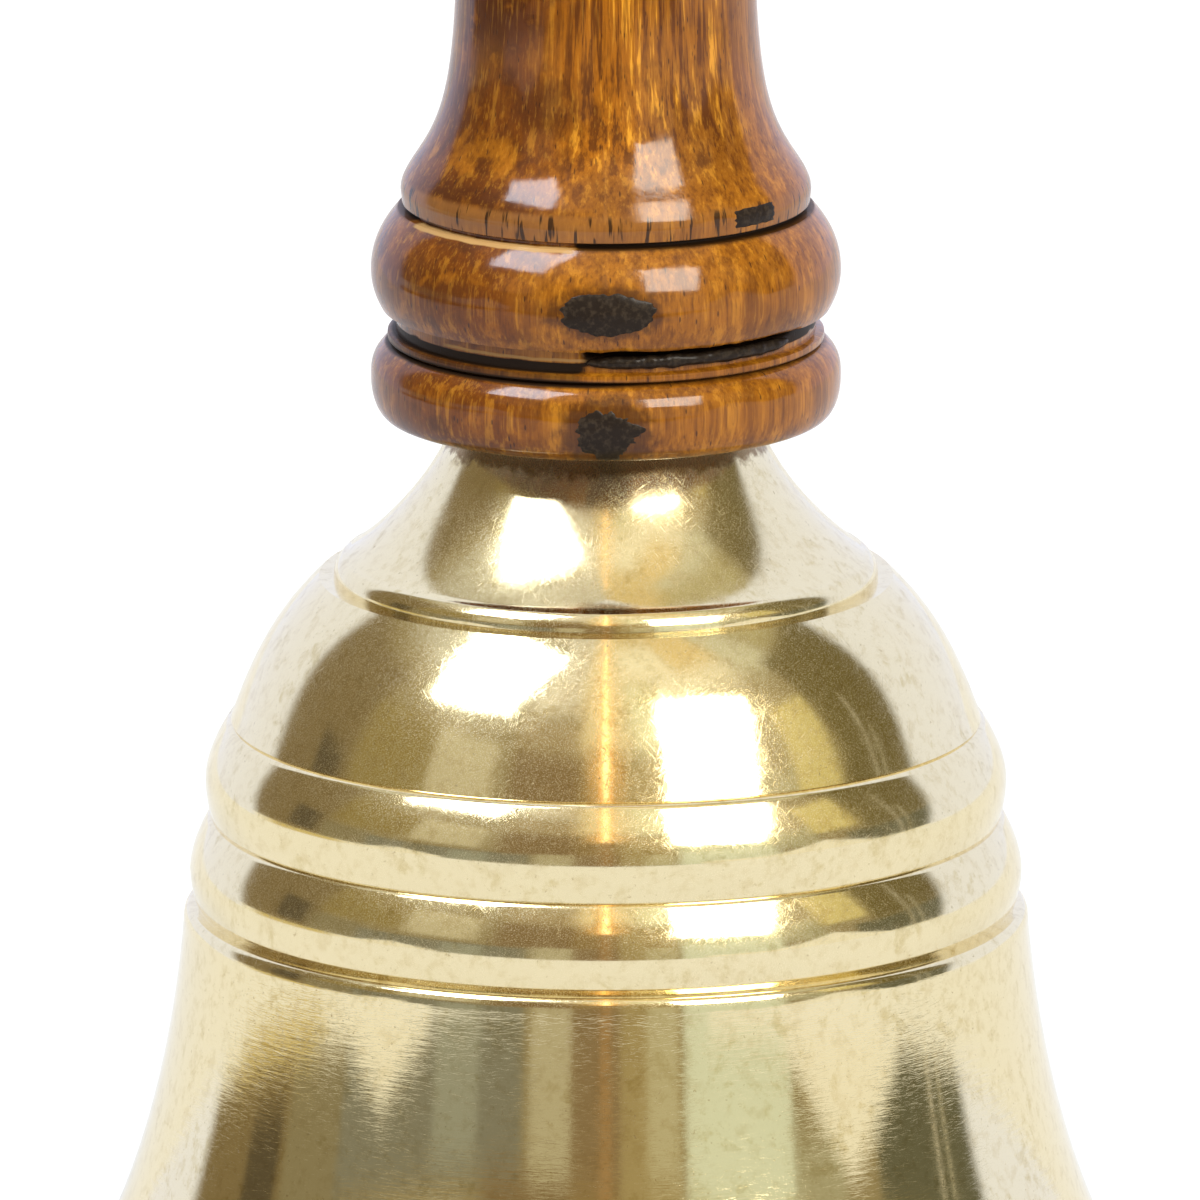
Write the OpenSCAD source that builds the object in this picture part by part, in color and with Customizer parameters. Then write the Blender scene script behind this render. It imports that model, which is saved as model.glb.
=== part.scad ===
// Brass hand bell with a turned wooden handle, standing on its rim.
// The origin is the centre of the mouth and +Z runs up the axis. Millimetres.

/* [Bell body] */
// Outside diameter of the mouth
mouth_d = 98; // [94:0.5:102]
// Height of the flared skirt, from the rim to the ledge under the beads
skirt_h = 44; // [43:0.5:46]
// Outside diameter of the skirt at that ledge
ledge_d = 62.5; // [61:0.5:64]
// Wall thickness of the skirt, measured level
wall_t = 2.6; // [2.2:0.1:3]
// Wall thickness at the rim, measured level
rim_t = 4.4; // [3.8:0.1:5]
// Height of the body, from the rim to the seat of the handle
body_h = 81.2; // [80.2:0.5:83.2]
// Outside diameter of the neck under the handle
neck_d = 22.4; // [22:0.2:24]
// Height of the flat ceiling inside
ceiling_h = 71.5; // [71:0.1:72]

/* [Handle] */
// Length of the wooden handle
handle_l = 124.8; // [119.8:1:129.8]
// Largest diameter of the two beads at its foot
bead_d = 34.8; // [34:0.2:36]
// Diameter of the lip above the beads
lip_d = 30.4; // [30:0.2:31]
// Diameter of the slim waist above the lip
waist_d = 21.5; // [20:0.5:23]
// Largest diameter of the grip
grip_d = 28.4; // [26:0.2:30]
// Diameter of the neck under the knob
knob_neck_d = 17.6; // [16:0.2:19]
// Diameter of the knob
knob_d = 25.2; // [24:0.2:28]

/* [Stud and nuts] */
// Thread diameter of the stud that clamps the bell to the handle
stud_d = 6; // [5:0.5:6]
// Clearance around the stud, each side
stud_gap = 0.2; // [0.1:0.05:0.4]
// Thickness of the washer under the ceiling
washer_t = 1.2; // [1:0.1:1.6]
// Thickness of the spring lock washer
lock_t = 1.4; // [1:0.1:1.6]
// Thickness of the thin hex nut
nut_t = 3.2; // [3:0.1:4]
// Distance across the flats of the nuts
nut_af = 10; // [9:0.5:11]

/* [Clapper] */
// Wire diameter of the eye at the stud's lower end
eye_wire_d = 3.2; // [3:0.1:3.4]
// Wire diameter of the ring link and of the clapper's loop
link_wire_d = 2.4; // [2.2:0.1:2.5]
// Running clearance where one loop hangs in the next
loop_gap = 0.05; // [0.03:0.01:0.1]
// Diameter of the clapper's rod
rod_d = 3.6; // [3.2:0.1:4]
// Diameter of the clapper's ball
ball_d = 19; // [17:0.5:20]
// Height of the ball's lowest point above the rim
ball_rise = 2; // [1.5:0.5:4]

/* [Hidden] */
$fn = 96;
EPS = 0.01;
STEPS = 10;                 // points along each turned curve

// Bell body, from the rim up
mouth_r = mouth_d / 2;
rim_h = 2.6;                // height of the upright band at the rim
rim_round = 0.8;
flank_r = mouth_r - 0.7;    // where the flared skirt leaves the rim band
ledge_r = ledge_d / 2;
ledge_round = 0.6;
bead_low_h = 6.6;           // heights of the two brass beads
bead_high_h = 7.5;
bead_low_r = ledge_r - 0.4;
bead_high_r = ledge_r - 1.55;
beads_top = skirt_h + bead_low_h + bead_high_h;
dome_foot_r = bead_high_r - 1.9;
dome_h = 10.9;
dome_top = beads_top + dome_h;
dome_top_r = dome_foot_r - 6.65;
line_w = 0.3;               // width of an incised line
neck_r = neck_d / 2;
foot_round = 1.7;           // the crown ends in a rounded foot standing just inside the dome's edge
crown_foot_r = dome_top_r - 1;
crown_foot_z = dome_top + 0.06;
crown_foot_turn = 54;
crown_foot_top = crown_foot_z + foot_round * sin(crown_foot_turn) + 0.05;
crown_reach = 11.2;         // how far the crown's concave sweep would run out and down
crown_drop = 12.2;
inner_waist_z = skirt_h + 6;
inner_waist_r = ledge_r - 4.6;
ceiling_r = 10.5;
bore_r = stud_d / 2 + stud_gap;

// Handle, from its foot up; every height is above the rim
foot_z = body_h;
handle_top = foot_z + handle_l;
foot_r = bead_d / 2 - 1.4;
foot_bead_z = foot_z + 2.9;         // where the lower wooden bead is fullest
line_z = foot_z + 5.7;              // fine line under the dark groove
groove_z0 = line_z + 0.8;
groove_z1 = groove_z0 + 1.75;
groove_r = bead_d / 2 - 1.85;
top_bead_z = groove_z1 + 2.7;       // where the upper wooden bead is fullest
lip_groove_z = foot_z + 15.7;
lip_z0 = lip_groove_z + 0.45;
lip_z1 = lip_z0 + 0.95;
lip_r = lip_d / 2;
flare_half = 4.3;                   // height in which the flare falls to half
grip_z = foot_z + 75;               // where the grip is fullest
knob_neck_z = handle_top - 23;
collar_z = knob_neck_z + 3.2;
knob_z = handle_top - 10;
knob_half_h = 11.9;
knob_seat_r = 6.8;                  // flat on top, under the cap washer

// Stud, washers and nuts
stud_r = stud_d / 2;
washer_z = ceiling_h - washer_t;
lock_z = washer_z - lock_t;
nut_z = lock_z - nut_t;
cap_washer_t = 1.6;
cap_nut_z = handle_top + cap_washer_t;
cap_nut_hex_h = 4.6;
cap_nut_h = 10.5;
stud_top = cap_nut_z + 7.5;

// Hanging loops: the eye, the ring link in it and the clapper's loop in that
eye_w = eye_wire_d / 2;
link_w = link_wire_d / 2;
eye_r = 4;                          // all three radii run to the middle of the wire
link_r = 4.6;
loop_r = 3.6;
eye_z = nut_z - 5;                  // the eye hangs close under the nut
link_pivot_z = eye_z - eye_r;
link_z = link_pivot_z + eye_w + link_w + loop_gap - link_r;
clapper_pivot_z = link_z - link_r;
loop_z = clapper_pivot_z + 2 * link_w + loop_gap - loop_r;
ball_r = ball_d / 2;
ball_z = ball_rise + ball_r;
rod_r = rod_d / 2;
rod_depth = ball_r * 1.3;           // how far the rod is screwed into the ball
jam_nut_t = 2.2;
jam_nut_af = 7;
ball_flat = sqrt(ball_r * ball_r - pow(jam_nut_af / 2, 2));   // height of the flat the jam nut sits on

// Dark filler set into flaws of the wood; angles turn from the front, -Y, towards +X
filler_depth = 1.3;
knot_high_z = foot_z + 11.4;
knot_low_z = foot_z + 2.6;
gash_from = -6;
gash_to = 60;
chip_at = 47;
chip_w = 4;
chip_h = 1.5;

function mix(a, b, t) = a + (b - a) * t;

function ease(t) = let(u = max(0, min(1, t))) u * u * (3 - 2 * u);

// Points on a circular arc of radius r about [x, y], from angle a to angle b
function arc(x, y, r, a, b, n = 5) = [for (i = [0:n]) let(t = mix(a, b, i / n))
    [x + r * cos(t), y + r * sin(t)]];

// A turned bead from z0 to z1, fullest at zm: it rolls under by low and falls away by high above
function bead(z0, zm, z1, r, low, high, power = 1.7, n = STEPS) = concat(
    [for (i = [0:n - 1]) let(u = 1 - i / n) [r - low * pow(u, 2), mix(zm, z0, u)]],
    [for (i = [0:n]) let(u = i / n) [r - high * pow(u, power), mix(zm, z1, u)]]);

// Outside radius of the flared skirt at height z
function skirt_r(z) = let(t = (skirt_h - z) / (skirt_h - rim_h))
    ledge_r + (flank_r - ledge_r) * (0.17 * t + 0.53 * pow(t, 2) + 0.3 * pow(t, 4));

// Inside radius of the skirt at height z: the wall thickens towards the rim
function skirt_in(z) = let(t = (skirt_h - z) / (skirt_h - rim_h)) skirt_r(z) - mix(wall_t, rim_t, pow(t, 4));

function dome_r(z) = let(u = (z - beads_top) / dome_h) dome_foot_r - 4.1 * u - 2.55 * pow(u, 3);

// Radius of the crown's concave sweep, part of a quarter superellipse
function crown_r(z) = let(u = (body_h - z) / crown_drop)
    neck_r + crown_reach * (1 - pow(1 - pow(u, 1.4), 1 / 1.4));

// Radius of the hollow's upper part, from the inner waist to the ceiling
function vault_r(z) = let(u = (z - inner_waist_z) / (ceiling_h - inner_waist_z))
    ceiling_r + (inner_waist_r - ceiling_r) * pow(1 - pow(u, 1.9), 1 / 1.9);

function body_outside() = concat(
    arc(mouth_r - rim_round, rim_round, rim_round, -90, 0),
    arc(mouth_r - rim_round, rim_h - rim_round, rim_round, 0, 50),
    [for (i = [0:2 * STEPS]) let(z = mix(rim_h, skirt_h - ledge_round, i / (2 * STEPS))) [skirt_r(z), z]],
    arc(ledge_r - ledge_round, skirt_h - ledge_round, ledge_round, 15, 90),
    bead(skirt_h + 0.1, skirt_h + 2.7, skirt_h + bead_low_h, bead_low_r, 0.55, 1.35),
    bead(skirt_h + bead_low_h + 0.1, skirt_h + bead_low_h + 3, beads_top - line_w, bead_high_r, 0.45, 1.65),
    [[dome_foot_r - 0.15, beads_top - line_w / 2]],
    [for (i = [0:STEPS]) let(z = mix(beads_top, dome_top - line_w / 3, i / STEPS)) [dome_r(z), z]],
    [[crown_foot_r, dome_top - line_w * 0.45]],
    arc(crown_foot_r - foot_round, crown_foot_z, foot_round, 0, crown_foot_turn, 8),
    [for (i = [0:2 * STEPS]) let(z = mix(crown_foot_top, body_h, i / (2 * STEPS))) [crown_r(z), z]]);

function body_inside() = concat(
    [[bore_r, body_h], [bore_r, ceiling_h], [ceiling_r, ceiling_h]],
    [for (i = [1:STEPS]) let(z = mix(ceiling_h, inner_waist_z, i / STEPS)) [vault_r(z), z]],
    [for (i = [0:2 * STEPS]) let(z = mix(skirt_h, rim_h, i / (2 * STEPS))) [skirt_in(z), z]],
    arc(mouth_r - 2.4, 0.6, 0.6, 150, 270));

// The wood's outline between its foot and the lip
function beads_outside() = concat(
    [for (i = [0:STEPS]) let(a = 90 * i / STEPS)
        [foot_r + (bead_d / 2 - foot_r) * sin(a), foot_bead_z - (foot_bead_z - foot_z) * cos(a)]],
    [for (i = [1:STEPS]) let(u = i / STEPS)
        [bead_d / 2 - 1.1 * pow(u, 3), mix(foot_bead_z, line_z - 0.15, u)]],
    [[bead_d / 2 - 1.6, line_z], [bead_d / 2 - 1.25, line_z + 0.2], [bead_d / 2 - 1.25, groove_z0 - 0.2],
        [groove_r, groove_z0], [groove_r, groove_z1 - 0.25]],
    bead(groove_z1, top_bead_z, lip_groove_z, bead_d / 2, 0.8, 2, 2.2),
    [[lip_r - 0.5, lip_groove_z + 0.15], [lip_r - 0.5, lip_z0 - 0.15], [lip_r - 0.1, lip_z0],
        [lip_r, lip_z1]]);

// Radius of the handle above the lip: the flare dies away and the grip swells
function grip_r(z) = waist_d / 2 + (lip_r - waist_d / 2) / (1 + pow((z - lip_z1) / flare_half, 1.9))
    + (grip_d - waist_d) / 2 * ease((z - grip_z + 42) / 42);

function handle_outside() = concat(
    beads_outside(),
    [for (i = [1:3 * STEPS]) let(z = mix(lip_z1, grip_z, i / (3 * STEPS))) [grip_r(z), z]],
    [for (i = [1:STEPS]) let(u = i / STEPS)
        [mix(grip_r(grip_z), knob_neck_d / 2, ease(u)), mix(grip_z, knob_neck_z, u)]],
    arc(knob_neck_d / 2, collar_z, 1.6, -70, 70, 6),
    [for (i = [0:2 * STEPS]) let(a = mix(-42, 57, i / (2 * STEPS)))
        [knob_d / 2 * cos(a), knob_z + knob_half_h * sin(a)]],
    [[knob_seat_r, handle_top]]);

// A hex prism with its corners chamfered, across flats af, standing on z = 0
module hex_prism(af, h, both = true) {
    corner = af / sqrt(3);
    cut = corner - af / 2;
    intersection() {
        rotate(30) cylinder(r = corner, h = h, $fn = 6);
        rotate_extrude() polygon([[0, 0], [both ? af / 2 : corner, 0], [corner + EPS, cut * 0.6],
            [corner + EPS, h - cut * 0.6], [af / 2, h], [0, h]]);
    }
}

// A ring of round wire about the Y axis
module wire_ring(r, wire) {
    rotate([90, 0, 0]) rotate_extrude() translate([r, 0]) circle(r = wire, $fn = 48);
}

module wood_turning() {
    rotate_extrude() polygon(concat(handle_outside(), [[bore_r, handle_top], [bore_r, foot_z]]));
}

// A ragged round blot w wide and h high, seen from the front: lobes sets how ragged it is
function blot(w, h, lobes, tail = 0) = [for (i = [0:35]) let(a = 10 * i,
    k = 1 + lobes * (0.6 * sin(3 * a + 20) + 0.4 * sin(7 * a)))
    [w / 2 * k * cos(a), h / 2 * k * sin(a) - tail * pow(max(0, -sin(a)), 12)]];

// What a flaw takes out of the wood: the blot run in from the front to the filler's depth
module knot_cut(z, w, h, lobes, tail = 0) {
    translate([0, filler_depth - bead_d / 2, z]) rotate([90, 0, 0]) linear_extrude(filler_depth + 1)
        polygon(blot(w, h, lobes, tail));
}

module knot_upper_cut() { knot_cut(knot_high_z, 7.3, 3.4, 0.06); }

module knot_lower_cut() { knot_cut(knot_low_z, 4.6, 3.3, 0.16, 0.5); }

// A block cut into the lip, right of front
module lip_cut() {
    rotate(chip_at) translate([-chip_w / 2, -lip_r - 1, lip_z0 + 0.35]) cube([chip_w, 2.2, chip_h]);
}

module bell_shell() {
    color("#cdb865") rotate_extrude() polygon(concat(body_outside(), body_inside()));
}

module handle() {
    color("#9a5a1e") difference() {
        wood_turning();
        knot_upper_cut();
        knot_lower_cut();
        lip_cut();
    }
}

// The shank narrows into the wire that is bent round into the eye
module handle_stud() {
    shank_z = eye_z + eye_r;
    color("#b9bcc0") {
        rotate_extrude() polygon([[0, shank_z], [eye_w, shank_z], [stud_r, nut_z],
            [stud_r, stud_top - 0.5], [stud_r - 0.5, stud_top], [0, stud_top]]);
        translate([0, 0, eye_z]) wire_ring(eye_r, eye_w);
    }
}

module crown_washer() {
    color("#c9cbce") translate([0, 0, washer_z]) difference() {
        cylinder(r = 8, h = washer_t);
        translate([0, 0, -1]) cylinder(r = bore_r, h = washer_t + 2);
    }
}

// A split ring: the slot runs through one side at a slant
module lock_washer() {
    color("#8f9296") translate([0, 0, lock_z]) difference() {
        cylinder(r = 5.4, h = lock_t);
        translate([0, 0, -1]) cylinder(r = stud_r + 0.1, h = lock_t + 2);
        translate([4, 0, lock_t / 2]) rotate([30, 0, 0]) cube([4, 0.6, 6], center = true);
    }
}

module crown_nut() {
    color("#c9cbce") translate([0, 0, nut_z]) difference() {
        hex_prism(nut_af, nut_t);
        translate([0, 0, -1]) cylinder(r = stud_r, h = nut_t + 2);
    }
}

// A dished rosette washer on top of the knob
module cap_washer() {
    color("#cdb865") rotate_extrude() polygon(concat(
        [[bore_r, handle_top], [knob_seat_r, handle_top]],
        arc(knob_seat_r, handle_top + 0.5, 0.5, -60, 80),
        [[nut_af / 2 + 0.4, cap_nut_z], [bore_r, cap_nut_z]]));
}

module cap_nut() {
    color("#cdb865") translate([0, 0, cap_nut_z]) difference() {
        union() {
            hex_prism(nut_af, cap_nut_hex_h, false);
            rotate_extrude() polygon(concat([[0, cap_nut_hex_h - 1], [4.4, cap_nut_hex_h - 1]],
                [for (i = [0:STEPS]) let(a = 90 * i / STEPS)
                    [4.4 * cos(a), cap_nut_hex_h + (cap_nut_h - cap_nut_hex_h) * sin(a)]]));
        }
        translate([0, 0, -1]) cylinder(r = stud_r, h = stud_top - cap_nut_z + 1.2);
    }
}

module knot_filler_upper() {
    color("#241712") intersection() {
        wood_turning();
        knot_upper_cut();
    }
}

module knot_filler_lower() {
    color("#241712") intersection() {
        wood_turning();
        knot_lower_cut();
    }
}

// A stretch of filler that lies in the dark groove, right of front
module groove_filler() {
    color("#241712") rotate(gash_from - 90) rotate_extrude(angle = gash_to - gash_from)
        polygon([[groove_r, groove_z0 + 0.25], [groove_r + 0.5, groove_z0 + 0.35],
            [groove_r + 0.5, groove_z1 - 0.5], [groove_r, groove_z1 - 0.4]]);
}

module lip_filler() {
    color("#241712") intersection() {
        wood_turning();
        lip_cut();
    }
}

module clapper_link() {
    color("#b9bcc0") translate([0, 0, link_z]) rotate(90) wire_ring(link_r, link_w);
}

module clapper_rod() {
    neck_z = loop_z - loop_r;
    rod_end = ball_z + ball_r - rod_depth;
    color("#b9bcc0") {
        translate([0, 0, loop_z]) wire_ring(loop_r, link_w);
        translate([0, 0, rod_end]) cylinder(r = rod_r, h = neck_z - 2 - rod_end);
        translate([0, 0, neck_z - 2]) rotate_extrude() polygon([[0, 0], [rod_r, 0], [link_w, 2], [0, 2]]);
    }
}

module clapper_jam_nut() {
    color("#c9cbce") translate([0, 0, ball_z + ball_flat]) difference() {
        hex_prism(jam_nut_af, jam_nut_t);
        translate([0, 0, -1]) cylinder(r = rod_r, h = jam_nut_t + 2);
    }
}

module clapper_ball() {
    color("#cdb865") translate([0, 0, ball_z]) difference() {
        sphere(r = ball_r);
        translate([0, 0, ball_r - rod_depth]) cylinder(r = rod_r, h = 2 * ball_r);
        translate([0, 0, ball_flat]) cylinder(r = ball_r, h = ball_r);
    }
}

bell_shell();
handle();
handle_stud();
crown_washer();
lock_washer();
crown_nut();
cap_washer();
cap_nut();
knot_filler_upper();
knot_filler_lower();
groove_filler();
lip_filler();
clapper_link();
clapper_rod();
clapper_jam_nut();
clapper_ball();
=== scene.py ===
import math

import bpy
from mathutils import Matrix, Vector, noise


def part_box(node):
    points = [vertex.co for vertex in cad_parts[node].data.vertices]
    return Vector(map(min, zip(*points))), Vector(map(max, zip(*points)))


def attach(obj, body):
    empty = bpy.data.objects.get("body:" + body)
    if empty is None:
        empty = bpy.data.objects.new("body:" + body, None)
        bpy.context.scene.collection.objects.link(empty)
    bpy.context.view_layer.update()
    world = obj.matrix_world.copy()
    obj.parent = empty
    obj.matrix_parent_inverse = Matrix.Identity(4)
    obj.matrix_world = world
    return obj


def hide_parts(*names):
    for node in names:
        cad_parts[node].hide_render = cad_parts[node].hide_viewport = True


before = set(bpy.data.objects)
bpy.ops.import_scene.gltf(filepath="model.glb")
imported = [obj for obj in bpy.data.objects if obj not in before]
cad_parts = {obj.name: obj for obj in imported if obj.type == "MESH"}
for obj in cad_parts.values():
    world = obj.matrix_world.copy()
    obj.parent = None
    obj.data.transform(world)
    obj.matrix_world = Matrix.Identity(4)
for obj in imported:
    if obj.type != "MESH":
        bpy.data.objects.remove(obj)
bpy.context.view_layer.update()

# All lengths below are millimetres and all angles degrees, unless a name says otherwise.
# Angles around the bell turn from the front, -Y, towards +X.
MM = 0.001


def extent(node):
    """Lowest and highest corners of a CAD node, in millimetres."""
    low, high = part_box(node)
    return low / MM, high / MM


SHELL_HIGH = extent("bell_shell")[1]
WOOD_LOW, WOOD_HIGH = extent("handle")
MOUTH_R = SHELL_HIGH.x
BODY_H = SHELL_HIGH.z
FOOT_Z = WOOD_LOW.z
HANDLE_TOP = WOOD_HIGH.z
BEAD_R = WOOD_HIGH.x

# Bell body
SKIRT_H, LEDGE_R, WALL_T, RIM_T = 44.0, 31.25, 2.6, 4.4
RIM_H, RIM_ROUND, LEDGE_ROUND = 2.6, 0.8, 0.6
FLANK_R = MOUTH_R - 0.7
BEAD_LOW_H, BEAD_HIGH_H = 6.6, 7.5
BEADS_TOP = SKIRT_H + BEAD_LOW_H + BEAD_HIGH_H
DOME_H = 10.9
DOME_TOP = BEADS_TOP + DOME_H
DOME_FOOT_R = LEDGE_R - 3.45
DOME_TOP_R = DOME_FOOT_R - 6.65
NECK_R = 11.2
CROWN_REACH, CROWN_DROP = 11.2, 12.2
CROWN_FOOT_R, CROWN_FOOT_Z, FOOT_ROUND, FOOT_TURN = DOME_TOP_R - 1.0, DOME_TOP + 0.06, 1.7, 54
CEILING_Z, CEILING_R = 71.5, 10.5
BORE_R = 3.2
WAIST_IN_Z, WAIST_IN_R = SKIRT_H + 6, LEDGE_R - 4.6

# Wooden handle
LIP_R, WAIST_R, GRIP_R, KNOB_NECK_R, KNOB_R = 15.2, 10.75, 14.2, 8.8, 12.6
FOOT_R = BEAD_R - 1.4
FOOT_BEAD_Z = FOOT_Z + 2.9
LINE_Z = FOOT_Z + 5.7
GROOVE_Z0 = LINE_Z + 0.8
GROOVE_Z1 = GROOVE_Z0 + 1.75
GROOVE_R = BEAD_R - 1.85
TOP_BEAD_Z = GROOVE_Z1 + 2.7
LIP_GROOVE_Z = FOOT_Z + 15.7
LIP_Z0 = LIP_GROOVE_Z + 0.45
LIP_Z1 = LIP_Z0 + 0.95
FLARE_HALF = 4.3
GRIP_Z = FOOT_Z + 75
KNOB_NECK_Z = HANDLE_TOP - 23
COLLAR_Z = KNOB_NECK_Z + 3.2
KNOB_Z = HANDLE_TOP - 10
KNOB_HALF_H = 11.9
KNOB_SEAT_R = 6.8


def mix(a, b, t):
    return a + (b - a) * t


def clamp(t):
    return max(0.0, min(1.0, t))


def ease(t):
    u = clamp(t)
    return u * u * (3 - 2 * u)


def arc(x, z, r, a, b, n=10):
    """Points on a circular arc about (x, z), from angle a to angle b."""
    turns = [math.radians(mix(a, b, i / n)) for i in range(n + 1)]
    return [(x + r * math.cos(t), z + r * math.sin(t)) for t in turns]


def along(start, end, n):
    return [mix(start, end, i / n) for i in range(n + 1)]


def bead(z0, zm, z1, r, low, high, power=1.7, n=22):
    """A turned bead from z0 to z1, fullest at zm."""
    under = [(r - low * (1 - i / n) ** 2, mix(zm, z0, 1 - i / n)) for i in range(n)]
    return under + [(r - high * (i / n) ** power, mix(zm, z1, i / n)) for i in range(n + 1)]


# ---------------------------------------------------------------- outlines

def skirt_r(z):
    t = (SKIRT_H - z) / (SKIRT_H - RIM_H)
    return LEDGE_R + (FLANK_R - LEDGE_R) * (0.17 * t + 0.53 * t ** 2 + 0.3 * t ** 4)


def skirt_in(z):
    t = (SKIRT_H - z) / (SKIRT_H - RIM_H)
    return skirt_r(z) - mix(WALL_T, RIM_T, t ** 4)


def dome_r(z):
    u = (z - BEADS_TOP) / DOME_H
    return DOME_FOOT_R - 4.1 * u - 2.55 * u ** 3


def crown_r(z):
    u = (BODY_H - z) / CROWN_DROP
    return NECK_R + CROWN_REACH * (1 - (1 - u ** 1.4) ** (1 / 1.4))


def vault_r(z):
    u = (z - WAIST_IN_Z) / (CEILING_Z - WAIST_IN_Z)
    return CEILING_R + (WAIST_IN_R - CEILING_R) * (1 - u ** 1.9) ** (1 / 1.9)


def shell_outside():
    crown_top = CROWN_FOOT_Z + FOOT_ROUND * math.sin(math.radians(FOOT_TURN)) + 0.05
    low_r, high_r = LEDGE_R - 0.4, LEDGE_R - 1.55
    high_z = SKIRT_H + BEAD_LOW_H
    return (arc(MOUTH_R - RIM_ROUND, RIM_ROUND, RIM_ROUND, -90, 0)
            + arc(MOUTH_R - RIM_ROUND, RIM_H - RIM_ROUND, RIM_ROUND, 0, 50)
            + [(skirt_r(z), z) for z in along(RIM_H, SKIRT_H - LEDGE_ROUND, 70)]
            + arc(LEDGE_R - LEDGE_ROUND, SKIRT_H - LEDGE_ROUND, LEDGE_ROUND, 15, 90)
            + bead(SKIRT_H + 0.1, SKIRT_H + 2.7, high_z, low_r, 0.55, 1.35)
            + bead(high_z + 0.1, high_z + 3, BEADS_TOP - 0.3, high_r, 0.45, 1.65)
            + [(DOME_FOOT_R - 0.15, BEADS_TOP - 0.15)]
            + [(dome_r(z), z) for z in along(BEADS_TOP, DOME_TOP - 0.1, 36)]
            + [(CROWN_FOOT_R, DOME_TOP - 0.13)]
            + arc(CROWN_FOOT_R - FOOT_ROUND, CROWN_FOOT_Z, FOOT_ROUND, 0, FOOT_TURN, 12)
            + [(crown_r(z), z) for z in along(crown_top, BODY_H, 44)])


def shell_inside():
    return ([(BORE_R, BODY_H), (BORE_R, CEILING_Z), (CEILING_R, CEILING_Z)]
            + [(vault_r(z), z) for z in along(CEILING_Z, WAIST_IN_Z, 26)[1:]]
            + [(skirt_in(z), z) for z in along(SKIRT_H, RIM_H, 40)]
            + arc(MOUTH_R - 2.4, 0.6, 0.6, 150, 270, 6))


def grip_r(z):
    flare = (LIP_R - WAIST_R) / (1 + ((z - LIP_Z1) / FLARE_HALF) ** 1.9)
    return WAIST_R + flare + (GRIP_R - WAIST_R) * ease((z - GRIP_Z + 42) / 42)


def handle_outside():
    foot = [(FOOT_R + (BEAD_R - FOOT_R) * math.sin(math.radians(a)),
             FOOT_BEAD_Z - (FOOT_BEAD_Z - FOOT_Z) * math.cos(math.radians(a))) for a in along(0, 90, 16)]
    shoulder = [(BEAD_R - 1.1 * u ** 3, mix(FOOT_BEAD_Z, LINE_Z - 0.15, u)) for u in along(0, 1, 14)[1:]]
    fillets = [(BEAD_R - 1.6, LINE_Z), (BEAD_R - 1.25, LINE_Z + 0.2), (BEAD_R - 1.22, LINE_Z + 0.4),
               (BEAD_R - 1.25, GROOVE_Z0 - 0.15), (BEAD_R - 1.4, GROOVE_Z0 - 0.05), (GROOVE_R, GROOVE_Z0 + 0.05)]
    bottom = [(GROOVE_R, z) for z in along(GROOVE_Z0 + 0.25, GROOVE_Z1 - 0.25, 7)]
    lip = [(LIP_R - 0.35, LIP_GROOVE_Z + 0.05), (LIP_R - 0.5, LIP_GROOVE_Z + 0.15), (LIP_R - 0.5, LIP_Z0 - 0.15),
           (LIP_R - 0.3, LIP_Z0 - 0.04), (LIP_R - 0.1, LIP_Z0 + 0.03)]
    lip += [(LIP_R - 0.1 * (1 - t), mix(LIP_Z0, LIP_Z1, t)) for t in along(0, 1, 6)[1:]]
    flare = [(grip_r(z), z) for z in along(LIP_Z1, LIP_Z1 + 14, 40)[1:]]
    grip = [(grip_r(z), z) for z in along(LIP_Z1 + 14, GRIP_Z, 34)[1:]]
    slim = [(mix(grip_r(GRIP_Z), KNOB_NECK_R, ease(u)), mix(GRIP_Z, KNOB_NECK_Z, u)) for u in along(0, 1, 20)[1:]]
    knob = [(KNOB_R * math.cos(math.radians(a)), KNOB_Z + KNOB_HALF_H * math.sin(math.radians(a)))
            for a in along(-42, 57, 32)]
    return (foot + shoulder + fillets + bottom
            + bead(GROOVE_Z1, TOP_BEAD_Z, LIP_GROOVE_Z, BEAD_R, 0.8, 2, 2.2, 16) + lip + flare + grip + slim
            + arc(KNOB_NECK_R, COLLAR_Z, 1.6, -70, 70, 12) + knob + [(KNOB_SEAT_R, HANDLE_TOP)])


WOOD_OUTLINE = handle_outside()


def wood_r(z):
    """Radius of the turned wood at height z."""
    for (r0, z0), (r1, z1) in zip(WOOD_OUTLINE, WOOD_OUTLINE[1:]):
        if z0 <= z <= z1 and z1 > z0:
            return mix(r0, r1, (z - z0) / (z1 - z0))
    return WOOD_OUTLINE[-1][0]


# ---------------------------------------------------------------- meshes

def new_object(name, verts, faces, smooth=True, sharp=()):
    mesh = bpy.data.meshes.new(name)
    mesh.from_pydata([(x * MM, y * MM, z * MM) for x, y, z in verts], [], faces)
    mesh.polygons.foreach_set("use_smooth", [smooth] * len(faces))
    if sharp:
        wanted = {frozenset(e) for e in sharp}
        for edge in mesh.edges:
            edge.use_edge_sharp = frozenset(edge.vertices) in wanted
    mesh.validate()
    obj = bpy.data.objects.new(name, mesh)
    bpy.context.scene.collection.objects.link(obj)
    return obj


def around(angle, r, z):
    """The point at that angle from the front, radius and height."""
    a = math.radians(angle)
    return (r * math.sin(a), -r * math.cos(a), z)


def corner_turn(before, at, after):
    a = math.atan2(at[1] - before[1], at[0] - before[0])
    b = math.atan2(after[1] - at[1], after[0] - at[0])
    return abs((b - a + math.pi) % (2 * math.pi) - math.pi)


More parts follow.
